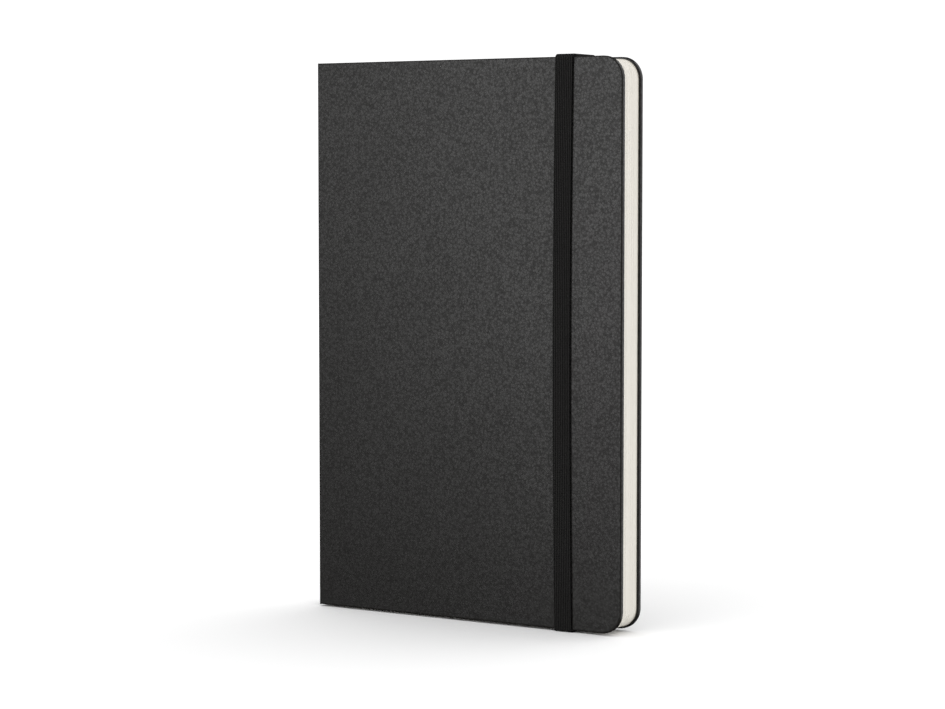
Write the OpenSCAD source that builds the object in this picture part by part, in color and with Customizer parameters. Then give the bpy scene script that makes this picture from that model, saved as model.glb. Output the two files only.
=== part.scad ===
// Pocket notebook with a hard cover, a sewn book block, an elastic closure and a rear pocket.
// It stands upright on its tail: X runs from the spine to the fore-edge, Y from the front cover
// to the back cover, Z from tail to head. The origin is the middle of the footprint.

/* [Cover] */
// Width of the closed cover, from the spine's outer face to the fore-edge
cover_w = 90; // [80:1:110]
// Height of the cover, from tail to head
cover_h = 140; // [120:1:180]
// Radius of the two cover corners at the fore-edge
corner_r = 5.5; // [4:0.5:9]
// Thickness of the front and back cover boards
board_t = 1.1; // [0.8:0.05:2]
// Thickness of the covering sheet
wrap_t = 0.18; // [0.1:0.01:0.3]
// Width of the covering sheet's turn-in on the inside of the boards
turn_in = 6.5; // [4:0.5:7]
// Space between the spine's sheet and the edge of each board, for the cover joint
board_gap = 0.4; // [0.2:0.1:1]
// Thickness of the card strip that stiffens the spine
spine_strip_t = 0.7; // [0.4:0.1:1.2]
// Thickness of each pastedown
pastedown_t = 0.12; // [0.08:0.01:0.2]

/* [Book block] */
// Number of sewn signatures, half of them on each side of the middle opening
signatures = 10; // [6:2:14]
// Thickness of one signature of eight leaves
signature_t = 0.62; // [0.4:0.02:0.9]
// Air between neighbouring sheets of the closed book
air = 0.02; // [0.01:0.01:0.05]
// Thickness of each flyleaf
flyleaf_t = 0.12; // [0.08:0.01:0.2]
// Distance that the cover stands past the pages at the fore-edge
fore_square = 0.35; // [0.2:0.05:3]
// Distance that the cover stands past the pages at the head and tail
end_square = 0.6; // [0.3:0.1:3]
// Thickness of the paper that lines the back of the block
lining_t = 0.12; // [0.08:0.01:0.2]
// Thickness of the mull, the open cloth glued over the back of the block
mull_t = 0.15; // [0.1:0.01:0.3]
// Width of each flap of mull under its pastedown
mull_flap_w = 12; // [6:1:20]
// Thickness of the sewing thread
thread_t = 0.24; // [0.15:0.01:0.4]
// Number of sewing stations along each fold
stations = 6; // [4:2:10]
// Distance of the outermost sewing stations from the ends of the pages
station_end = 12; // [8:1:20]

/* [Elastic closure] */
// Width of the elastic band
band_w = 5; // [3:0.5:8]
// Thickness of the elastic band
band_t = 0.7; // [0.5:0.1:1.2]
// Thickness of the band where the book stands on it
band_foot_t = 0.5; // [0.3:0.1:1]
// Distance from the fore-edge to the middle of the band
band_inset = 16; // [12:0.5:25]
// Distance from the head or tail edge to the slot that the band enters
slot_inset = 8; // [7.5:0.5:20]
// Clearance of each slot around the band
slot_fit = 0.1; // [0.05:0.05:0.3]
// Length of the band's glued end inside the back cover
band_tab = 10; // [6:1:15]

/* [Rear pocket] */
// Thickness of the pocket's front panel
panel_t = 0.25; // [0.15:0.05:0.5]
// Thickness of the folded cloth gussets
gusset_t = 0.2; // [0.1:0.05:0.4]
// Width of the folded gussets
gusset_w = 8; // [5:1:15]
// Height of the cloth fold along the foot of the pocket
pocket_fold_h = 5; // [3:1:10]
// Distance of the pocket from the cover's edges and from the spine
pocket_margin = 3; // [2:0.5:6]

/* [Hidden] */
$fn = 64;
cut = 1;
cover_t = board_t + 2 * wrap_t;
inner_t = cover_t + pastedown_t;
thick = 2 * (inner_t + flyleaf_t) + signatures * signature_t + (signatures + 3) * air
    + panel_t + gusset_t;
x_spine = -cover_w / 2;
x_fore = cover_w / 2;
y_front = -thick / 2;
y_back = thick / 2;
z_tail = band_foot_t;
z_head = z_tail + cover_h;
// Sheets of the case start behind the spine's covering sheet
x_case = x_spine + wrap_t;
x_board = x_case + board_gap;
x_strip = x_spine + wrap_t;
x_lining = x_strip + spine_strip_t + wrap_t + 2 * air;
x_mull = x_lining + lining_t;
x_thread = x_mull + mull_t;
x_fold = x_thread + thread_t + air;
x_page = x_fore - fore_square;
page_r = corner_r - fore_square;
z_page = z_tail + end_square;
z_page_top = z_head - end_square;
y_front_flyleaf = y_front + inner_t + air;
y_first_signature = y_front_flyleaf + flyleaf_t + air;
y_back_flyleaf = y_first_signature + signatures * (signature_t + air);
y_panel = y_back_flyleaf + flyleaf_t + air;
y_gusset = y_panel + panel_t;
x_band = x_fore - band_inset;
x_pocket = x_board + pocket_margin;
pocket_w = x_fore - pocket_margin - x_pocket;
z_pocket = z_tail + pocket_margin;
pocket_h = cover_h - 2 * pocket_margin;
station_step = (z_page_top - z_page - 2 * station_end) / (stations - 1);

function y_signature(i) = y_first_signature + (i - 1) * (signature_t + air);
function z_station(i) = z_page + station_end + (i - 1) * station_step;

// Outline in X and Z with two round corners on the fore-edge side
module leaf_outline(x0, x1, z0, z1, r) {
    translate([x0, z0]) square([x1 - x0 - r, z1 - z0]);
    translate([x0, z0 + r]) square([x1 - x0, z1 - z0 - 2 * r]);
    for (z = [z0 + r, z1 - r]) translate([x1 - r, z]) circle(r);
}

// A flat sheet of thickness t from y0, in the outline drawn by its children
module sheet(y0, t) {
    translate([0, y0 + t, 0]) rotate([90, 0, 0]) linear_extrude(t) children();
}

module block(x0, x1, y0, y1, z0, z1) {
    translate([x0, y0, z0]) cube([x1 - x0, y1 - y0, z1 - z0]);
}

// Children drawn with the cover's outer face at y = 0 and its inside towards +Y
module on_front() { translate([0, y_front, 0]) children(); }
module on_back() { translate([0, y_back, 0]) mirror([0, 1, 0]) children(); }

module cover_outline(inset, x0) {
    leaf_outline(x0, x_fore - inset, z_tail + inset, z_head - inset, corner_r - inset);
}

module page_outline() { leaf_outline(x_fold, x_page, z_page, z_page_top, page_r); }

// The covering sheet on one board: outer face, edges and turn-ins
module cover_wrap() {
    difference() {
        sheet(0, cover_t) cover_outline(0, x_case);
        sheet(wrap_t, board_t) cover_outline(wrap_t, x_case - cut);
        block(x_case - cut, x_fore - turn_in, cover_t - wrap_t - cut / 10, cover_t + cut,
            z_tail + turn_in, z_head - turn_in);
    }
}

module cover_board() { sheet(wrap_t, board_t) cover_outline(wrap_t, x_board); }

// A pastedown covers the turn-ins and fills the space between them down to the board
module pastedown() {
    difference() {
        union() {
            sheet(cover_t, pastedown_t) cover_outline(fore_square + wrap_t, x_board);
            block(x_board, x_fore - turn_in, cover_t - wrap_t, cover_t,
                z_tail + turn_in, z_head - turn_in);
        }
        block(x_board - cut, x_board + mull_flap_w, cover_t - wrap_t - cut, cover_t - wrap_t + mull_t,
            z_page + station_end / 2, z_page_top - station_end / 2);
    }
}

module mull_flap() {
    block(x_board, x_board + mull_flap_w, cover_t - wrap_t, cover_t - wrap_t + mull_t,
        z_page + station_end / 2, z_page_top - station_end / 2);
}

// Both places where the band goes through the back cover, seen from the head and from the tail
module at_head() { translate([0, 0, z_head]) children(); }
module at_tail() { translate([0, 0, z_tail]) mirror([0, 0, 1]) children(); }

module band_slot(fit) {
    block(x_band - band_w / 2 - fit, x_band + band_w / 2 + fit, -cut, cover_t - wrap_t,
        -slot_inset - band_t - fit, -slot_inset + fit);
}

// Room for the band's glued end between the board and the pastedown
module tab_recess(fit) {
    block(x_band - band_w / 2 - fit, x_band + band_w / 2 + fit, cover_t - wrap_t - fit, cover_t,
        -slot_inset - band_t - band_tab - fit, -slot_inset + fit);
}

module both_slots() {
    at_head() band_slot(slot_fit);
    at_tail() band_slot(slot_fit);
}

module front_cover_wrap() { color("#26242a") on_front() cover_wrap(); }
module front_board() { color("#8d8577") on_front() cover_board(); }
module front_pastedown() { color("#efe9d6") on_front() pastedown(); }
module front_mull_flap() { color("#e9e4d6") on_front() mull_flap(); }
module front_flyleaf() { color("#efe9d6") sheet(y_front_flyleaf, flyleaf_t) page_outline(); }

// One signature: folded leaves with a round fold at the spine
module signature(i) {
    fold_r = signature_t / 2;
    color("#f1ecda") intersection() {
        sheet(y_signature(i), signature_t) page_outline();
        translate([0, 0, z_page]) linear_extrude(z_page_top - z_page) {
            translate([x_fold + fold_r, y_signature(i) + fold_r]) circle(fold_r);
            translate([x_fold + fold_r, y_signature(i)]) square([x_page - x_fold, signature_t]);
        }
    }
}

// Long stitches along every fold, and the links that tie the signatures together
module sewing_thread() {
    first_y = y_signature(1) + signature_t / 2;
    last_y = y_signature(signatures) + signature_t / 2;
    color("#f4f2ea") {
        for (s = [1:stations])
            block(x_thread, x_thread + thread_t, first_y, last_y,
                z_station(s) - thread_t / 2, z_station(s) + thread_t / 2);
        for (i = [1:signatures]) for (s = [1:2:stations - 1])
            block(x_thread, x_thread + thread_t, y_signature(i) + (signature_t - thread_t) / 2,
                y_signature(i) + (signature_t + thread_t) / 2, z_station(s), z_station(s + 1));
    }
}

module mull() {
    color("#e9e4d6") block(x_mull, x_mull + mull_t, y_signature(1), y_back_flyleaf - air,
        z_page + station_end / 2, z_page_top - station_end / 2);
}

module spine_lining() {
    color("#d8cfba") block(x_lining, x_lining + lining_t, y_signature(1), y_back_flyleaf - air,
        z_page, z_page_top);
}

module spine_strip() {
    color("#8d8577") block(x_strip, x_strip + spine_strip_t, y_front + inner_t + air,
        y_back - inner_t - air, z_tail + wrap_t, z_head - wrap_t);
}

// The covering sheet across the spine, turned in over the strip at head and tail
module spine_wrap() {
    color("#26242a") {
        block(x_spine, x_spine + wrap_t, y_front, y_back, z_tail, z_head);
        difference() {
            block(x_strip, x_strip + spine_strip_t + wrap_t, y_front + inner_t + air,
                y_back - inner_t - air, z_tail, z_head);
            block(x_strip - cut, x_strip + spine_strip_t, y_front, y_back,
                z_tail + wrap_t, z_head - wrap_t);
            block(x_strip - cut, x_lining, y_front, y_back, z_tail + turn_in, z_head - turn_in);
        }
    }
}

module back_flyleaf() { color("#efe9d6") sheet(y_back_flyleaf, flyleaf_t) page_outline(); }

module pocket_panel() {
    color("#efe9d6") block(x_pocket, x_pocket + pocket_w, y_panel, y_gusset,
        z_pocket, z_pocket + pocket_h);
}

module pocket_gusset(x0) {
    color("#d9d3c2") block(x0, x0 + gusset_w, y_gusset, y_gusset + gusset_t,
        z_pocket + pocket_fold_h, z_pocket + pocket_h);
}

module pocket_gusset_spine() { pocket_gusset(x_pocket); }
module pocket_gusset_fore() { pocket_gusset(x_pocket + pocket_w - gusset_w); }

module pocket_tail_fold() {
    color("#d9d3c2") block(x_pocket, x_pocket + pocket_w, y_gusset, y_gusset + gusset_t,
        z_pocket, z_pocket + pocket_fold_h);
}

module back_pastedown() {
    color("#efe9d6") on_back() difference() {
        pastedown();
        at_head() tab_recess(slot_fit / 2);
        at_tail() tab_recess(slot_fit / 2);
    }
}

module back_mull_flap() { color("#e9e4d6") on_back() mull_flap(); }
module back_board() { color("#8d8577") on_back() difference() { cover_board(); both_slots(); } }
module back_cover_wrap() { color("#26242a") on_back() difference() { cover_wrap(); both_slots(); } }

module elastic_strip() {
    color("#1d1b1c") block(x_band - band_w / 2, x_band + band_w / 2,
        y_front - band_t, y_front - air, z_tail, z_head);
}

module elastic_leg(z0, z1) {
    color("#1d1b1c") block(x_band - band_w / 2, x_band + band_w / 2,
        y_front - band_t, y_back + band_t, z0, z1);
}

module elastic_head_leg() { elastic_leg(z_head, z_head + band_t); }
module elastic_tail_leg() { elastic_leg(0, z_tail); }

// The band's end: down the outside of the back cover, through the slot and flat on the board
module elastic_root() {
    color("#1d1b1c") {
        block(x_band - band_w / 2, x_band + band_w / 2, -band_t, 0, -slot_inset - band_t, 0);
        block(x_band - band_w / 2, x_band + band_w / 2, -band_t / 2, cover_t - slot_fit,
            -slot_inset - band_t, -slot_inset);
        block(x_band - band_w / 2, x_band + band_w / 2, cover_t - wrap_t, cover_t - slot_fit / 2,
            -slot_inset - band_t - band_tab, -slot_inset);
    }
}

module elastic_head_root() { on_back() at_head() elastic_root(); }
module elastic_tail_root() { on_back() at_tail() elastic_root(); }

front_cover_wrap();
front_board();
front_pastedown();
front_mull_flap();
front_flyleaf();
for (i = [1:signatures]) signature(i);
sewing_thread();
mull();
spine_lining();
spine_strip();
spine_wrap();
back_flyleaf();
pocket_panel();
pocket_gusset_spine();
pocket_gusset_fore();
pocket_tail_fold();
back_pastedown();
back_mull_flap();
back_board();
back_cover_wrap();
elastic_strip();
elastic_head_leg();
elastic_tail_leg();
elastic_head_root();
elastic_tail_root();
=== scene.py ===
"""A pocket notebook that stands on its tail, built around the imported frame.

X runs from the spine to the fore-edge, Y from the front cover to the back cover, Z from tail to head.
"""
import math
import random

import bmesh
import bpy
from mathutils import Matrix, Vector


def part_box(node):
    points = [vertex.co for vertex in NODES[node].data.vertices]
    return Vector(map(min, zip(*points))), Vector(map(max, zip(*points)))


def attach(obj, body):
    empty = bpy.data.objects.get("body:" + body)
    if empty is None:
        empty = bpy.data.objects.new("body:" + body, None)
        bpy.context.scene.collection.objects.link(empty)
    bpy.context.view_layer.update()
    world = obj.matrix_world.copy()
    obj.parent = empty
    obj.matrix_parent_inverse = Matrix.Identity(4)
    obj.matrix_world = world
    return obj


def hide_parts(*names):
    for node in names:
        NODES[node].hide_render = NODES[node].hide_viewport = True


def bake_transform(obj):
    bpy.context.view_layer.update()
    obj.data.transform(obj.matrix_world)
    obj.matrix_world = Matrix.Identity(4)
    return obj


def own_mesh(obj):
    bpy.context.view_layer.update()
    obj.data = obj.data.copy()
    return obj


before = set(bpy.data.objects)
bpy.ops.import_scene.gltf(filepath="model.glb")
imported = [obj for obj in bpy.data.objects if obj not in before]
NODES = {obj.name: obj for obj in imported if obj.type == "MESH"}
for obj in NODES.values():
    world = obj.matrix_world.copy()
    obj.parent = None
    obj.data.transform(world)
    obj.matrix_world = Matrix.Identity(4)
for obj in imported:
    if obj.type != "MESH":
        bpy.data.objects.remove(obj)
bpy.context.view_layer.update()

MM = 0.001

# ---------------------------------------------------------------- places taken from the frame
front_lo, front_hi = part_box("front_cover_wrap")
back_lo, back_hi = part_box("back_cover_wrap")
spine_lo, spine_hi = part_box("spine_wrap")
strip_lo, strip_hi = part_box("spine_strip")
board_lo, board_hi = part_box("front_board")
band_lo, band_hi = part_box("elastic_strip")
leg_lo, leg_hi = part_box("elastic_head_leg")
tail_leg_lo, tail_leg_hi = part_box("elastic_tail_leg")
leaf_lo, leaf_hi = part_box("front_flyleaf")
gusset_lo, gusset_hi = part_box("pocket_gusset_fore")
gusset_spine_lo, gusset_spine_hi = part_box("pocket_gusset_spine")
X_SPINE, X_FORE = spine_lo.x, front_hi.x
Y_FRONT, Y_BACK = front_lo.y, back_hi.y
Z_TAIL, Z_HEAD = front_lo.z, front_hi.z
COVER_T = front_hi.y - front_lo.y
CORNER_R = 5.5 * MM
JOINT_R = 0.7 * MM
WRAP_T = board_lo.y - front_lo.y
X_BAND = (band_lo.x + band_hi.x) / 2
BAND_W = band_hi.x - band_lo.x
BAND_T = leg_hi.z - leg_lo.z
X_LEAF, X_PAGE = leaf_lo.x, leaf_hi.x
PAGE_R = CORNER_R - (X_FORE - X_PAGE)

# ---------------------------------------------------------------- camera
VIEW_AZIMUTH = math.radians(32.6)
VIEW_ELEVATION = math.radians(3.8)
VIEW_DISTANCE = 0.668
VIEW_LENS = 101.3
VIEW_FILM = 36
AIM_RIGHT, AIM_UP = -0.7 * MM, -3.6 * MM


def add_camera():
    data = bpy.data.cameras.new("camera")
    data.lens = VIEW_LENS
    data.sensor_width = VIEW_FILM
    data.clip_start = 0.01
    camera = bpy.data.objects.new("camera", data)
    away = Vector((math.sin(VIEW_AZIMUTH) * math.cos(VIEW_ELEVATION),
                   -math.cos(VIEW_AZIMUTH) * math.cos(VIEW_ELEVATION),
                   math.sin(VIEW_ELEVATION)))
    turn = away.to_track_quat("Z", "Y")
    middle = Vector((0, 0, (Z_TAIL + Z_HEAD) / 2))
    aim = middle + turn @ Vector((AIM_RIGHT, AIM_UP, 0))
    camera.matrix_world = Matrix.LocRotScale(aim + away * VIEW_DISTANCE, turn, None)
    bpy.context.collection.objects.link(camera)
    bpy.context.scene.camera = camera


add_camera()


# ---------------------------------------------------------------- shader helpers
class Wire:
    """A shader socket that sums can be written with."""

    def __init__(self, finish, socket):
        self.finish = finish
        self.socket = socket

    def maths(self, operation, first, second=0.0):
        return self.finish.node("ShaderNodeMath", {"operation": operation}, {0: first, 1: second})

    def __add__(self, other):
        return self.maths("ADD", self, other)

    def __sub__(self, other):
        return self.maths("SUBTRACT", self, other)

    def __rsub__(self, other):
        return self.maths("SUBTRACT", other, self)

    def __mul__(self, other):
        return self.maths("MULTIPLY", self, other)

    def __gt__(self, other):
        return self.maths("GREATER_THAN", self, other)

    def __lt__(self, other):
        return self.maths("LESS_THAN", self, other)

    def __pow__(self, other):
        return self.maths("POWER", self, other)

    __radd__ = __add__
    __rmul__ = __mul__


class Finish:
    """A material: its shader's fixed values, and the nodes that vary the rest over the surface."""

    def __init__(self, name, **fixed):
        self.material = bpy.data.materials.new(name)
        self.material.use_nodes = True
        self.tree = self.material.node_tree
        self.shader = self.tree.nodes["Principled BSDF"]
        for key, value in fixed.items():
            self.shader.inputs[key.replace("_", " ")].default_value = value
        self.place = self.node("ShaderNodeTexCoord", output="Object")

    def node(self, kind, settings=None, inputs=None, output=0):
        made = self.tree.nodes.new(kind)
        for key, value in (settings or {}).items():
            setattr(made, key, value)
        for key, value in (inputs or {}).items():
            self.join(value, made.inputs[key])
        return Wire(self, made.outputs[output])

    def join(self, value, socket):
        if isinstance(value, Wire):
            self.tree.links.new(value.socket, socket)
        else:
            socket.default_value = value

    def feed(self, **varying):
        for key, value in varying.items():
            self.join(value, self.shader.inputs[key.replace("_", " ")])

    def mapped(self, stretch):
        """Object coordinates with each axis stretched."""
        return self.node("ShaderNodeMapping", None, {"Vector": self.place, "Scale": stretch})

    def noise(self, grain, detail=2.0, where=None, output=0):
        """Noise whose blotches are about grain millimetres across."""
        return self.node("ShaderNodeTexNoise", None,
                         {"Vector": where or self.place, "Scale": 1000 / grain, "Detail": detail}, output)

    def cells(self, grain, feature="F1", where=None, output=0):
        """Rounded cells about grain millimetres across."""
        return self.node("ShaderNodeTexVoronoi", {"feature": feature},
                         {"Vector": where or self.place, "Scale": 1000 / grain}, output)

    def blend(self, share, first, second):
        """Mixes two colours."""
        return self.node("ShaderNodeMix", {"data_type": "RGBA"}, {0: share, 6: first, 7: second}, 2)

    def bump(self, height, depth, strength=1.0, under=None):
        inputs = {"Height": height, "Distance": depth * MM, "Strength": strength}
        if under:
            inputs["Normal"] = under
        return self.node("ShaderNodeBump", None, inputs)

    def attribute(self, name):
        return self.node("ShaderNodeAttribute", {"attribute_name": name}, None, "Fac")


def grey(value, warmth=0.0):
    """A grey with a little more red and less blue."""
    return (value * (1 + warmth), value, value * (1 - warmth), 1)


def waves_apart(pitch):
    """The scale of a wave pattern that repeats about every pitch millimetres."""
    return 1000 / pitch / 3.2


# ---------------------------------------------------------------- finishes
def cover_finish():
    """Coated covering sheet with a fine pebbled grain, painted shade in its hollows and painted highlight
    on its crests, dust specks and rubbed edges.
    """
    finish = Finish("cover_sheet", Coat_Roughness=0.25, Specular_IOR_Level=0.22)
    drift = finish.node("ShaderNodeVectorMath", {"operation": "MULTIPLY_ADD"},
                        {0: finish.noise(1.3, 1, output="Color"), 1: (0.0005,) * 3, 2: finish.place})
    pebbles = finish.cells(0.62, "SMOOTH_F1", drift)
    valleys = finish.cells(0.62, "DISTANCE_TO_EDGE", drift)
    worn = finish.noise(0.7, 3)
    fine = finish.noise(0.14, 3)
    broad = finish.noise(30, 2)
    domes = (1 - pebbles) * 0.5 + (valleys ** 0.5) * 0.4
    height = domes + worn * 0.7 + fine * 0.16
    waves = finish.bump(finish.noise(21, 2), 0.22, 0.5)
    finish.feed(Normal=finish.bump(height, 0.055, 0.5, waves))
    crests = finish.node("ShaderNodeMapRange", {"interpolation_type": "SMOOTHSTEP"},
                         {0: height, 1: 0.62, 2: 1.16, 3: 0.30, 4: 1.0})
    finish.feed(Coat_Weight=crests * (broad * 0.4 + 0.78))
    speck_gap = 7
    draws = finish.cells(speck_gap, output="Color")
    lone = finish.node("ShaderNodeSeparateColor", None, {0: draws}, "Red") > 0.93
    speck = lone * (finish.cells(speck_gap) < 0.014)
    # Painted shade and highlight on the grain: the base colour is darker in the pebbles' hollows and
    # lighter on their crests, and the fine noise adds random tone.
    tone = finish.blend(crests * 0.8 + fine * 0.3, grey(0.0065, 0.10), grey(0.0155, 0.05))
    rubbed = finish.blend(finish.attribute("rim") * finish.noise(1.6, 3) * 0.35, tone, grey(0.03, 0.12))
    finish.feed(Base_Color=finish.blend(speck, rubbed, grey(0.62)))
    finish.feed(Roughness=worn * 0.12 + 0.36)
    return finish.material


def band_finish():
    """Woven elastic: cross threads over every rib, painted shade in the grooves between the ribs, and a
    little lint.
    """
    finish = Finish("elastic_weave", Roughness=0.8, Sheen_Weight=0.04, Sheen_Roughness=0.5,
                    Specular_IOR_Level=0.2)
    threads = finish.node("ShaderNodeTexWave", {"wave_type": "BANDS", "bands_direction": "Z"},
                          {"Vector": finish.place, "Scale": waves_apart(0.42),
                           "Distortion": 1.2, "Detail": 1.0, "Detail Scale": 2.0})
    fibres = finish.noise(0.09, 3, finish.mapped((1, 1, 0.35)))
    finish.feed(Normal=finish.bump(threads * 0.6 + fibres * 0.7, 0.06, 0.7))
    lint = (finish.noise(0.5, 4) > 0.71) * 0.35
    thread_tone = finish.blend(threads * 0.5 + fibres * 0.5, grey(0.0085, 0.05), grey(0.0210, 0.06))
    # Painted shade: the grooves between the ribs are near black, while the crests take the thread colour.
    tone = finish.blend(finish.attribute("rib"), grey(0.0008), thread_tone)
    finish.feed(Base_Color=finish.blend(lint, tone, grey(0.03)))
    finish.feed(Roughness=fibres * 0.2 + 0.66)
    return finish.material


def paper_finish(name, light, dark, specks=0.0):
    """Uncoated paper with cloudy fibres; the tone attribute sets leaf from leaf."""
    finish = Finish(name, Roughness=0.86, Specular_IOR_Level=0.3)
    cloud = finish.noise(3.2, 4)
    fibres = finish.noise(0.22, 3, finish.mapped((1, 1, 0.4)))
    share = cloud * 0.35 + fibres * 0.35 + finish.attribute("tone") * 0.5
    tone = finish.blend(share, light, dark)
    finish.feed(Base_Color=finish.blend((finish.noise(0.35, 2) > 0.76) * specks, tone, grey(0.35, 0.12)))
    finish.feed(Normal=finish.bump(fibres + cloud * 0.5, 0.02, 0.35))
    finish.feed(Roughness=fibres * 0.1 + 0.8)
    return finish.material


def board_finish():
    """Greyboard: pressed waste paper with dark and light flecks."""
    finish = Finish("grey_board", Roughness=0.9)
    flecks = finish.noise(0.4, 4, finish.mapped((1, 2.5, 1)))
    layers = finish.node("ShaderNodeTexWave", {"bands_direction": "Y"},
                         {"Vector": finish.place, "Scale": waves_apart(0.3), "Distortion": 3.0})
    finish.feed(Base_Color=finish.blend(flecks * 0.7 + layers * 0.2, grey(0.22, 0.08), grey(0.48, 0.1)))
    finish.feed(Normal=finish.bump(flecks, 0.05, 0.5))
    return finish.material


def weave_finish(name, light, dark, pitch, across=("X", "Z")):
    """Plain-weave cloth with a thread every pitch millimetres both ways."""
    finish = Finish(name, Roughness=0.9, Sheen_Weight=0.15)
    ways = [finish.node("ShaderNodeTexWave", {"bands_direction": way},
                        {"Vector": finish.place, "Scale": waves_apart(pitch), "Distortion": 0.6})
            for way in across]
    woven = ways[0] * 0.5 + ways[1] * 0.5
    fibres = finish.noise(0.1, 3)
    finish.feed(Base_Color=finish.blend(woven * 0.7 + fibres * 0.3, dark, light))
    finish.feed(Normal=finish.bump(woven + fibres * 0.4, 0.05, 0.6))
    return finish.material


def thread_finish():
    """Waxed two-ply sewing thread."""
    finish = Finish("waxed_thread", Roughness=0.5)
    ply = finish.node("ShaderNodeTexWave", {"bands_direction": "DIAGONAL"},
                      {"Vector": finish.place, "Scale": waves_apart(0.3)})
    finish.feed(Base_Color=finish.blend(ply, grey(0.6, 0.04), grey(0.82, 0.03)))
    finish.feed(Normal=finish.bump(ply, 0.05, 0.6))
    return finish.material


COVER = cover_finish()
ELASTIC = band_finish()
PAGES = paper_finish("writing_paper", (0.83, 0.805, 0.75, 1), (0.72, 0.69, 0.625, 1))
ENDPAPER = paper_finish("endpaper", (0.80, 0.77, 0.70, 1), (0.71, 0.675, 0.59, 1), 0.12)
LINING = paper_finish("lining_paper", (0.55, 0.43, 0.29, 1), (0.42, 0.32, 0.2, 1), 0.4)
BOARD = board_finish()
MULL = weave_finish("mull_gauze", (0.82, 0.79, 0.7, 1), (0.45, 0.42, 0.36, 1), 0.9, ("Y", "Z"))
GUSSET = weave_finish("gusset_cloth", (0.78, 0.74, 0.64, 1), (0.6, 0.56, 0.47, 1), 0.32)
THREAD = thread_finish()


# ---------------------------------------------------------------- mesh helpers
def slab(x, y, z, corner_r=0.0, steps=18):
    """A box between pairs of x, y and z, with its two fore-edge corners rounded."""
    bm = bmesh.new()
    size = Vector((x[1] - x[0], y[1] - y[0], z[1] - z[0]))
    middle = Vector((sum(x), sum(y), sum(z))) / 2
    bmesh.ops.create_cube(bm, size=1, matrix=Matrix.LocRotScale(middle, None, size))
    if corner_r:
        corners = [e for e in bm.edges if abs(e.verts[0].co.y - e.verts[1].co.y) > size.y / 2
                   and e.verts[0].co.x > middle.x]
        bevel(bm, corners, corner_r, steps)
    return bm


def bevel(bm, edges, offset, segments):
    return bmesh.ops.bevel(bm, geom=edges, offset=offset, affect="EDGES", segments=segments,
                           profile=0.5, material=-1)


def keep_flat(bm, axis, place, margin):
    """Rings the flat face at this place, so that the rounding beside it doesn't tilt its shading."""
    face = [f for f in bm.faces if all(near(v.co[axis], place) for v in f.verts)]
    bmesh.ops.inset_region(bm, faces=face, thickness=margin)


def near(a, b, reach=0.01 * MM):
    return abs(a - b) < reach


class Sweep:
    """A closed outline carried along straights and bends into a solid."""

    def __init__(self, points, name=None, values=()):
        self.bm = bmesh.new()
        layer = self.bm.verts.layers.float.new(name) if name else None
        verts = [self.bm.verts.new(p) for p in points]
        for v, value in zip(verts, values):
            v[layer] = value
        self.verts = verts
        self.loop = [self.bm.edges.new(pair) for pair in zip(verts, verts[1:] + verts[:1])]

    def carry(self):
        out = bmesh.ops.extrude_edge_only(self.bm, edges=self.loop)["geom"]
        self.verts = [g for g in out if isinstance(g, bmesh.types.BMVert)]
        made = set(self.verts)
        self.loop = [g for g in out if isinstance(g, bmesh.types.BMEdge)
                     and g.verts[0] in made and g.verts[1] in made]

    def straight(self, move, steps=1):
        for _ in range(steps):
            self.carry()
            bmesh.ops.translate(self.bm, verts=self.verts, vec=Vector(move) / steps)
        return self

    def bend(self, centre, axis, degrees, steps):
        turn = Matrix.Rotation(math.radians(degrees) / steps, 3, axis)
        for _ in range(steps):
            self.carry()
            bmesh.ops.rotate(self.bm, verts=self.verts, cent=Vector(centre), matrix=turn)
        return self

    def close(self):
        ends = [e for e in self.bm.edges if e.is_boundary]
        bmesh.ops.holes_fill(self.bm, edges=ends, sides=0)
        return self.bm


def make(name, bm, finish, smooth=40):
    """Turns a bmesh into a finished object in place."""
    bmesh.ops.recalc_face_normals(bm, faces=bm.faces)
    mesh = bpy.data.meshes.new(name)
    bm.to_mesh(mesh)
    bm.free()
    mesh.materials.append(finish)
    mesh.shade_smooth()
    mesh.set_sharp_from_angle(angle=math.radians(smooth))
    made = bpy.data.objects.new(name, mesh)
    bpy.context.collection.objects.link(made)
    return made


def mark(bm, name, value):
    """Gives every vertex a number that a finish reads."""
    layer = bm.verts.layers.float.get(name) or bm.verts.layers.float.new(name)
    for v in bm.verts:
        v[layer] = value(v.co)


def dress(node, finish):
    """Gives a CAD node that stays in view its finish."""
    mesh = NODES[node].data
    mesh.materials.clear()
    mesh.materials.append(finish)


# ---------------------------------------------------------------- covers
EDGE_R = 0.32 * MM
INNER_EDGE_R = 0.22 * MM
FACE_MARGIN = 0.25 * MM
PLEATS = 11
PLEAT_KINDS = 17
PLEAT_DEPTHS = (0.015, 0.06)
PLEAT_REACH = 1.2 * MM
PLEAT_FROM, PLEAT_RISE = 0.2, 0.7
PLEAT_DIP = 0.02 * MM
RIM_REACH = 0.9 * MM
RIM_FLAT = 0.02 * MM
HAIR = 0.001 * MM


def board_rim(bm, y):
    """The edges round a cover's face at this y, apart from the one at the joint."""
    return [e for e in bm.edges if all(near(v.co.y, y) for v in e.verts)
            and not all(near(v.co.x, board_lo.x) for v in e.verts)]


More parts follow.
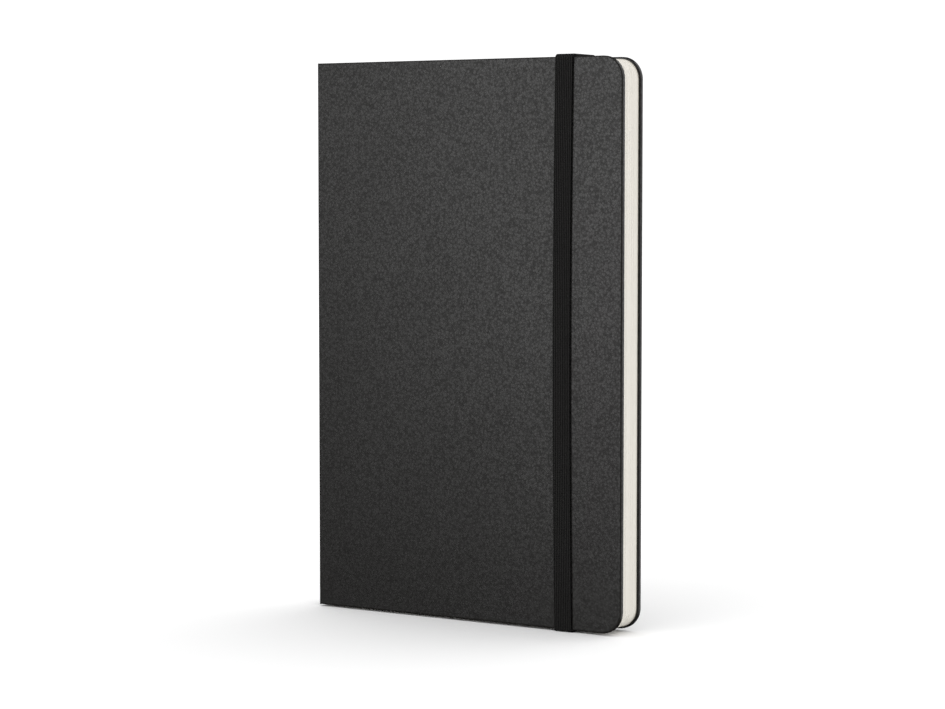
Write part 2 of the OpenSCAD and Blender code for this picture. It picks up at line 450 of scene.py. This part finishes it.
def pleat_corners(bm, outer, way):
    """Draws in every second column round both corners, deeper towards the board's inner face."""
    shaker = random.Random(3)
    depths = [shaker.uniform(*PLEAT_DEPTHS) for _ in range(PLEAT_KINDS)]
    for z_centre, outward in ((Z_TAIL + CORNER_R, -1), (Z_HEAD - CORNER_R, 1)):
        centre = Vector((X_FORE - CORNER_R, 0, z_centre))
        for v in bm.verts:
            spoke = Vector((v.co.x - centre.x, 0, v.co.z - centre.z))
            depth = (v.co.y - outer) * way / COVER_T
            past_corner = spoke.x < -HAIR or spoke.z * outward < -HAIR
            if past_corner or spoke.length < CORNER_R - PLEAT_REACH or depth < PLEAT_FROM:
                continue
            angle = math.atan2(abs(spoke.z), spoke.x)
            column = round(angle / (math.pi / 2) * 2 * PLEATS)
            if column % 2:
                share = min(1.0, (depth - PLEAT_FROM) / PLEAT_RISE)
                v.co -= spoke.normalized() * share * depths[column % PLEAT_KINDS] * MM
                v.co.y -= way * share * PLEAT_DIP


def rim_wear(co, outer):
    """1 on the rounding along a cover's three outer edges and round its corners, and 0 elsewhere."""
    on_rounding = near(co.y, outer, EDGE_R * 1.1) and not near(co.y, outer, RIM_FLAT)
    on_side = co.x > X_FORE - RIM_REACH or co.z > Z_HEAD - RIM_REACH or co.z < Z_TAIL + RIM_REACH
    from_centre = Vector((co.x, co.z)) - Vector((X_FORE - CORNER_R, Z_HEAD - CORNER_R))
    on_corner = from_centre.length > CORNER_R - RIM_REACH and co.x > X_FORE - CORNER_R
    return 1.0 if on_rounding and (on_side or on_corner) else 0.0


def cover(name, body, outer, inner, node):
    """A board in its covering sheet: soft edges, and the sheet's small pleats round each corner."""
    bm = slab((board_lo.x, X_FORE), sorted((outer, inner)), (Z_TAIL, Z_HEAD), CORNER_R, 2 * PLEATS)
    bevel(bm, board_rim(bm, outer), EDGE_R, 4)
    bevel(bm, board_rim(bm, inner), INNER_EDGE_R, 3)
    keep_flat(bm, 1, outer, FACE_MARGIN)
    keep_flat(bm, 1, inner, FACE_MARGIN)
    pleat_corners(bm, outer, 1 if inner > outer else -1)
    mark(bm, "rim", lambda co: rim_wear(co, outer))
    made = make(name, bm, COVER)
    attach(made, body)
    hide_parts(node)


cover("front_cover_sheet", "front_cover", Y_FRONT, Y_FRONT + COVER_T, "front_cover_wrap")
cover("back_cover_sheet", "back_cover", Y_BACK, Y_BACK - COVER_T, "back_cover_wrap")

SPINE_EDGE_R = 0.12 * MM
SPINE_MARGIN = 0.15 * MM
ROLL_SINK = 0.01 * MM
SPINE_TURN_IN = 6.5 * MM


def spine_sheet():
    """The covering sheet across the spine's outer face."""
    bm = slab((X_SPINE, X_SPINE + WRAP_T), (Y_FRONT + JOINT_R, Y_BACK - JOINT_R), (Z_TAIL, Z_HEAD))
    bevel(bm, [e for e in bm.edges if all(near(v.co.x, X_SPINE) for v in e.verts)], SPINE_EDGE_R, 3)
    keep_flat(bm, 0, X_SPINE, SPINE_MARGIN)
    sheet = make("spine_sheet", bm, COVER)
    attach(sheet, "spine")
    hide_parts("spine_wrap")


def spine_roll(name, z_edge, up):
    """The covering sheet's roll over the spine strip at head or tail, and its turn-in behind the strip."""
    roll_r = (spine_hi.x - X_SPINE) / 2
    z_start = z_edge - up * roll_r
    x_out, x_in = X_SPINE + ROLL_SINK, X_SPINE + WRAP_T
    outline = [(x_out, strip_lo.y, z_start), (x_out, strip_hi.y, z_start),
               (x_in, strip_hi.y, z_start), (x_in, strip_lo.y, z_start)]
    roll = Sweep(outline).bend((X_SPINE + roll_r, 0, z_start), "Y", 180 * up, 12)
    roll.straight((0, 0, -up * SPINE_TURN_IN), 2)
    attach(make(name, roll.close(), COVER), "spine")


spine_sheet()
spine_roll("spine_head_roll", Z_HEAD, 1)
spine_roll("spine_tail_roll", Z_TAIL, -1)


def joint_strip(name, y_outer, way, first, last):
    """A stretch of the covering sheet round one long edge of the spine, which bends as the cover turns."""
    centre = Vector((X_SPINE + JOINT_R, y_outer + way * JOINT_R, 0))
    spoke = Vector((-1, 0, 0))
    start = Matrix.Rotation(math.radians(first) * way, 3, "Z") @ spoke
    outline = [centre + start * r + Vector((0, 0, z))
               for r, z in ((JOINT_R, Z_TAIL), (JOINT_R, Z_HEAD),
                            (JOINT_R - WRAP_T, Z_HEAD), (JOINT_R - WRAP_T, Z_TAIL))]
    strip = Sweep(outline).bend(centre, "Z", (last - first) * way, 8)
    made = make(name, strip.close(), COVER)
    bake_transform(made)


joint_strip("front_joint_spine_side", Y_FRONT, 1, 0, 45)
joint_strip("front_joint_cover_side", Y_FRONT, 1, 45, 90)
joint_strip("back_joint_spine_side", Y_BACK, -1, 0, 45)
joint_strip("back_joint_cover_side", Y_BACK, -1, 45, 90)

# ---------------------------------------------------------------- pages
SIGNATURES = 10
LEAVES = 8
PAPER_SHARE = 0.82
TRIM_UNEVEN = 0.035
BEND = 12 * MM
COLUMNS = 14
trimmer = random.Random(7)


def leaf(y, thickness, x_fold, x_end, z):
    """One leaf with round corners, cut into columns near the fold so that it can bend."""
    bm = slab((x_fold, x_end), (y - thickness / 2, y + thickness / 2), z, PAGE_R, 8)
    for i in range(1, COLUMNS + 1):
        geom = bm.verts[:] + bm.edges[:] + bm.faces[:]
        bmesh.ops.bisect_plane(bm, geom=geom, plane_co=(x_fold + BEND * i / COLUMNS, 0, 0),
                               plane_no=(1, 0, 0))
    return bm


def add(target, source):
    """Puts one bmesh into another and frees it."""
    mesh = bpy.data.meshes.new("part")
    source.to_mesh(mesh)
    source.free()
    target.from_mesh(mesh)
    bpy.data.meshes.remove(mesh)


def folded_sheets(number):
    """A signature: four folded sheets, one inside the other."""
    node = f"signature_{number}"
    lo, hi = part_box(node)
    pitch = (hi.y - lo.y) / LEAVES
    thickness = pitch * PAPER_SHARE
    x_turn = lo.x + (hi.y - lo.y) / 2
    y_middle = (lo.y + hi.y) / 2
    whole = bmesh.new()
    whole.verts.layers.float.new("tone")
    for k in range(LEAVES // 2):
        sheet = bmesh.new()
        y_pair = (lo.y + (k + 0.5) * pitch, hi.y - (k + 0.5) * pitch)
        for y in y_pair:
            trimmed = hi.x - trimmer.uniform(0.0, TRIM_UNEVEN) * MM
            half = leaf(y, thickness, x_turn, trimmed, (lo.z, hi.z))
            ends = [f for f in half.faces if all(near(v.co.x, x_turn) for v in f.verts)]
            bmesh.ops.delete(half, geom=ends, context="FACES")
            add(sheet, half)
        edge = thickness / 2
        outline = [(x_turn, y_pair[0] + side, z) for side, z in
                   ((-edge, lo.z), (-edge, hi.z), (edge, hi.z), (edge, lo.z))]
        add(sheet, Sweep(outline).bend((x_turn, y_middle, 0), "Z", -180, 8).bm)
        bmesh.ops.remove_doubles(sheet, verts=sheet.verts, dist=0.002 * MM)
        shade = trimmer.uniform(0, 1)
        mark(sheet, "tone", lambda co: shade)
        add(whole, sheet)
    made = make(f"leaves_{number}", whole, PAGES)
    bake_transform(made)
    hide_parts(node)


for number in range(1, SIGNATURES + 1):
    folded_sheets(number)


def flyleaf(name):
    """The free endpaper on one side of the block, which bends at the spine like a page."""
    lo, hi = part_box(name)
    bm = leaf((lo.y + hi.y) / 2, hi.y - lo.y, lo.x, hi.x, (lo.z, hi.z))
    mark(bm, "tone", lambda co: 0.2)
    made = make(f"{name}_sheet", bm, ENDPAPER)
    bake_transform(made)
    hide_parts(name)


flyleaf("front_flyleaf")
flyleaf("back_flyleaf")


# ---------------------------------------------------------------- endpapers on the boards
PASTED_T = 0.12 * MM
PASTED_DROP = 0.09 * MM
PASTED_CORNER_R = PAGE_R - 0.2 * MM
STEP_OUT, STEP_IN = 5.6 * MM, 6.5 * MM


def pastedown(name, body, way):
    """The paper pasted inside a cover: it steps down where the turn-ins end under it."""
    lo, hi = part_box(name)
    y_face = hi.y if way > 0 else lo.y
    y_under = y_face - way * PASTED_T
    bm = slab((lo.x, hi.x), sorted((y_under, y_face)), (lo.z, hi.z), PASTED_CORNER_R, 12)
    for reach in (STEP_OUT, STEP_IN):
        for place, facing in (((hi.x - reach, 0, 0), (1, 0, 0)), ((0, 0, lo.z + reach), (0, 0, 1)),
                              ((0, 0, hi.z - reach), (0, 0, 1))):
            geom = bm.verts[:] + bm.edges[:] + bm.faces[:]
            bmesh.ops.bisect_plane(bm, geom=geom, plane_co=place, plane_no=facing)
    for v in bm.verts:
        from_edge = min(hi.x - v.co.x, v.co.z - lo.z, hi.z - v.co.z)
        if from_edge > STEP_IN - 0.01 * MM and near(v.co.y, y_face):
            v.co.y -= way * PASTED_DROP
    mark(bm, "tone", lambda co: 0.1)
    made = make(f"{name}_sheet", bm, ENDPAPER)
    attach(made, body)
    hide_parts(name)


pastedown("front_pastedown", "front_cover", 1)
pastedown("back_pastedown", "back_cover", -1)

HINGE_T = 0.09 * MM
HINGE_TURN_R = 0.15 * MM
HINGE_FOLD_DEPTH = 0.455 * MM
BOARD_LIFT, FLYLEAF_LIFT = 0.05 * MM, 0.10 * MM
BOARD_LAP, FLYLEAF_LAP = 1.5 * MM, 0.6 * MM
X_COVER_LEG = board_lo.x - 0.06 * MM
X_BLOCK_LEG = X_SPINE + WRAP_T + 0.10 * MM


def paper_ribbon(x, y, along):
    """The cut end of a strip of endpaper as tall as a leaf, ready to be carried along x or y."""
    across = Vector((0, HINGE_T / 2, 0)) if along == "x" else Vector((HINGE_T / 2, 0, 0))
    foot, head = Vector((x, y, leaf_lo.z)), Vector((x, y, leaf_hi.z))
    return Sweep([foot - across, head - across, head + across, foot + across])


def endpaper_hinge(side, cover_body, half_body, y_outer, way):
    """The endpaper where it crosses the joint: over the board's edge, a fold, and up to the flyleaf."""
    y_board = y_outer + way * (COVER_T + BOARD_LIFT)
    y_flyleaf = y_outer + way * (COVER_T + FLYLEAF_LIFT)
    y_fold = y_outer + way * HINGE_FOLD_DEPTH
    y_over, y_up = y_board - way * HINGE_TURN_R, y_flyleaf - way * HINGE_TURN_R
    x_over, x_up = X_COVER_LEG + HINGE_TURN_R, X_BLOCK_LEG + HINGE_TURN_R
    over = paper_ribbon(board_lo.x + BOARD_LAP, y_board, "x")
    over.straight((x_over - board_lo.x - BOARD_LAP, 0, 0), 2)
    over.bend((x_over, y_over, 0), "Z", 90 * way, 6)
    over.straight((0, y_fold - y_over, 0), 3)
    cover_leg = make(f"{side}_hinge_cover_leg", over.close(), ENDPAPER)
    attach(cover_leg, cover_body)
    up = paper_ribbon(X_BLOCK_LEG, y_fold, "y")
    up.straight((0, y_up - y_fold, 0), 3)
    up.bend((x_up, y_up, 0), "Z", -90 * way, 6)
    up.straight((X_LEAF + FLYLEAF_LAP - x_up, 0, 0), 3)
    block_leg = make(f"{side}_hinge_block_leg", up.close(), ENDPAPER)
    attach(block_leg, half_body)
    fold = paper_ribbon(X_BLOCK_LEG, y_fold, "y")
    fold.bend(((X_BLOCK_LEG + X_COVER_LEG) / 2, y_fold, 0), "Z", 180 * way, 16)
    fold_piece = make(f"{side}_hinge_fold", fold.close(), ENDPAPER)
    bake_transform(fold_piece)


endpaper_hinge("front", "front_cover", "front_half", Y_FRONT, 1)
endpaper_hinge("back", "back_cover", "rear_half", Y_BACK, -1)


# ---------------------------------------------------------------- pocket in the back cover
CLOTH_T = 0.045 * MM
CARD_EDGE_R = 0.06 * MM


def pocket_front():
    """The pocket's card front with soft edges."""
    lo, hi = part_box("pocket_panel")
    bm = slab((lo.x, hi.x), (lo.y, hi.y), (lo.z, hi.z))
    bevel(bm, [e for e in bm.edges if near(e.verts[0].co.y, e.verts[1].co.y)], CARD_EDGE_R, 2)
    mark(bm, "tone", lambda co: 0.15)
    card = make("pocket_card", bm, ENDPAPER)
    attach(card, "pocket")
    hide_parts("pocket_panel")


def gusset(node, x_open, x_fold):
    """A side gusset: cloth from the pastedown in to a fold and back out to the card."""
    lo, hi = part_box(node)
    step = (hi.y - lo.y) / 2 - CLOTH_T
    y_start = hi.y - CLOTH_T / 2
    outline = [(x_open, y_start + side * CLOTH_T / 2, z)
               for side, z in ((-1, lo.z), (-1, hi.z), (1, hi.z), (1, lo.z))]
    cloth = Sweep(outline).straight((x_fold - x_open, -step, 0), 8)
    way = 1 if x_fold > x_open else -1
    cloth.bend((x_fold, y_start - step - CLOTH_T / 2, 0), "Z", -180 * way, 6)
    cloth.straight((x_open - x_fold, -step + CLOTH_T, 0), 8)
    piece = make(f"{node}_cloth", cloth.close(), GUSSET)
    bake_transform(piece)
    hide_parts(node)


def tail_fold():
    """The cloth along the pocket's tail: up the pastedown, folded at the tail, up the card."""
    lo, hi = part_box("pocket_tail_fold")
    y_start = hi.y - CLOTH_T / 2
    r = (hi.y - lo.y - CLOTH_T) / 2
    outline = [(x, y_start + side * CLOTH_T / 2, hi.z)
               for side, x in ((-1, lo.x), (-1, hi.x), (1, hi.x), (1, lo.x))]
    cloth = Sweep(outline).straight((0, 0, lo.z + r - hi.z), 4)
    cloth.bend((0, y_start - r, lo.z + r), "X", -180, 8)
    cloth.straight((0, 0, hi.z - lo.z - r), 4)
    piece = make("pocket_tail_cloth", cloth.close(), GUSSET)
    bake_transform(piece)
    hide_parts("pocket_tail_fold")


pocket_front()
gusset("pocket_gusset_spine", gusset_spine_lo.x, gusset_spine_hi.x)
gusset("pocket_gusset_fore", gusset_hi.x, gusset_lo.x)
tail_fold()

# ---------------------------------------------------------------- inner parts that keep their CAD shape
for node in ("front_board", "back_board", "spine_strip"):
    dress(node, BOARD)
for node in ("mull", "front_mull_flap", "back_mull_flap"):
    dress(node, MULL)
dress("spine_lining", LINING)
dress("sewing_thread", THREAD)

# ---------------------------------------------------------------- elastic band
RIBS = 10
RIB_DEPTH = 0.11 * MM
BAND_BOW = 0.6 * MM
BEND_R = 0.4 * MM
BAND_EDGE = 0.22 * MM
POINT_GAP = 0.004 * MM
FOOT_SHARE = (tail_leg_hi.z - tail_leg_lo.z) / BAND_T
SLOT_DROP = 8.35 * MM
SLOT_TURN_R = 0.45 * MM
SLOT_DEPTH = 0.9 * MM


def band_section(along, normal, centre):
    """The band's section ready to be carried: ribs on both faces and round edges."""
    points, crests = [], []
    steps = RIBS * 8
    for face in (1, -1):
        for i in range(steps + 1):
            across = (i / steps * 2 - 1) * face
            from_edge = (1 - abs(across)) * BAND_W / 2
            fall = math.sqrt(1 - max(0.0, 1 - from_edge / BAND_EDGE) ** 2)
            crest = 0.5 - 0.5 * math.cos((across + 1) * math.pi * RIBS)
            height = (BAND_T / 2 - RIB_DEPTH * (1 - crest)) * fall
            point = centre + along * (across * BAND_W / 2) + normal * face * height
            if not points or (point - points[-1]).length > POINT_GAP:
                points.append(point)
                crests.append(crest)
    if (points[0] - points[-1]).length < POINT_GAP:
        points.pop()
        crests.pop()
    # Each point's rib value, 1 on a crest and 0 in a groove, sets the band's painted shade in the grooves.
    return Sweep(points, "rib", crests)


def band_strip():
    """The stretch over the front cover, drawn a little towards the spine at mid height."""
    z0, z1 = Z_TAIL + BEND_R, Z_HEAD - BEND_R
    start = Vector((X_BAND, Y_FRONT - BAND_T / 2, z0))
    sweep = band_section(Vector((1, 0, 0)), Vector((0, -1, 0)), start)
    bm = sweep.straight((0, 0, z1 - z0), 40).close()
    for v in bm.verts:
        rise = (v.co.z - z0) / (z1 - z0)
        v.co.x -= BAND_BOW * math.sin(math.pi * rise)
    made = make("elastic_front", bm, ELASTIC, 60)
    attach(made, "elastic_band")
    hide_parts("elastic_strip")


def band_turn(name, up, node):
    """The stretch over the head or tail edge; the book's weight thins it under the tail."""
    z_edge = Z_HEAD if up > 0 else Z_TAIL
    z_start = z_edge - up * BEND_R
    start = Vector((X_BAND, Y_FRONT - BAND_T / 2, z_start))
    sweep = band_section(Vector((1, 0, 0)), Vector((0, -1, 0)), start)
    sweep.bend((X_BAND, Y_FRONT + BEND_R, z_start), "X", -90 * up, 8)
    sweep.straight((0, Y_BACK - Y_FRONT - 2 * BEND_R, 0), 12)
    sweep.bend((X_BAND, Y_BACK - BEND_R, z_start), "X", -90 * up, 8)
    bm = sweep.close()
    if up < 0:
        for v in bm.verts:
            if v.co.z < Z_TAIL:
                v.co.z = Z_TAIL + (v.co.z - Z_TAIL) * FOOT_SHARE
    made = make(name, bm, ELASTIC, 60)
    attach(made, "elastic_legs")
    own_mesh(made)
    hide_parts(node)


band_strip()
band_turn("elastic_over_head", 1, "elastic_head_leg")
band_turn("elastic_under_tail", -1, "elastic_tail_leg")


def band_end(name, up, node):
    """The end of the band on the back cover: down to its slot and into it."""
    z_edge = Z_HEAD if up > 0 else Z_TAIL
    z_start = z_edge - up * BEND_R
    z_slot = z_edge - up * SLOT_DROP
    z_bend = z_slot + up * SLOT_TURN_R
    start = Vector((X_BAND, Y_BACK + BAND_T / 2, z_start))
    sweep = band_section(Vector((1, 0, 0)), Vector((0, 1, 0)), start)
    sweep.straight((0, 0, z_bend - z_start), 8)
    sweep.bend((X_BAND, Y_BACK + BAND_T / 2 - SLOT_TURN_R, z_bend), "X", -90 * up, 8)
    sweep.straight((0, -SLOT_DEPTH, 0), 1)
    made = make(name, sweep.close(), ELASTIC, 60)
    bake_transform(made)
    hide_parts(node)


band_end("elastic_head_end", 1, "elastic_head_root")
band_end("elastic_tail_end", -1, "elastic_tail_root")


# ---------------------------------------------------------------- stage
FLOOR_R = 6.0


def soft_light(name, azimuth, elevation, spread, share):
    """A large soft source far away; share is the part of full white that it lights a facing sheet to."""
    light = bpy.data.lights.new(name, "SUN")
    light.angle = math.radians(spread)
    light.energy = share * math.pi
    lamp = bpy.data.objects.new(name, light)
    turn, lift = math.radians(azimuth), math.radians(elevation)
    away = Vector((math.sin(turn) * math.cos(lift), -math.cos(turn) * math.cos(lift), math.sin(lift)))
    lamp.matrix_world = Matrix.LocRotScale(away, away.to_track_quat("Z", "Y"), None)
    bpy.context.collection.objects.link(lamp)


def studio():
    """A white floor in a white surround, with a low and a high soft light ahead and a broad one behind.

    Neither floor nor surround shows in the cover's gloss, which is left to the lights.
    """
    bm = bmesh.new()
    bmesh.ops.create_circle(bm, cap_ends=True, radius=FLOOR_R, segments=64)
    mesh = bpy.data.meshes.new("floor")
    bm.to_mesh(mesh)
    bm.free()
    white = Finish("floor_white", Roughness=0.9, Specular_IOR_Level=0.0, Base_Color=grey(0.96))
    mesh.materials.append(white.material)
    floor = bpy.data.objects.new("floor", mesh)
    floor.visible_glossy = False
    bpy.context.collection.objects.link(floor)
    world = bpy.data.worlds.new("surround")
    world.use_nodes = True
    sky = world.node_tree.nodes["Background"]
    sky.inputs["Color"].default_value = grey(1.0)
    sky.inputs["Strength"].default_value = 1.1
    bpy.context.scene.world = world
    world.cycles_visibility.glossy = False
    bpy.context.scene.view_settings.view_transform = "Standard"
    soft_light("key", -22, 4, 28, 0.155)
    soft_light("high", -18, 34, 45, 0.08)
    soft_light("rear", 155, 12, 70, 0.24)


studio()
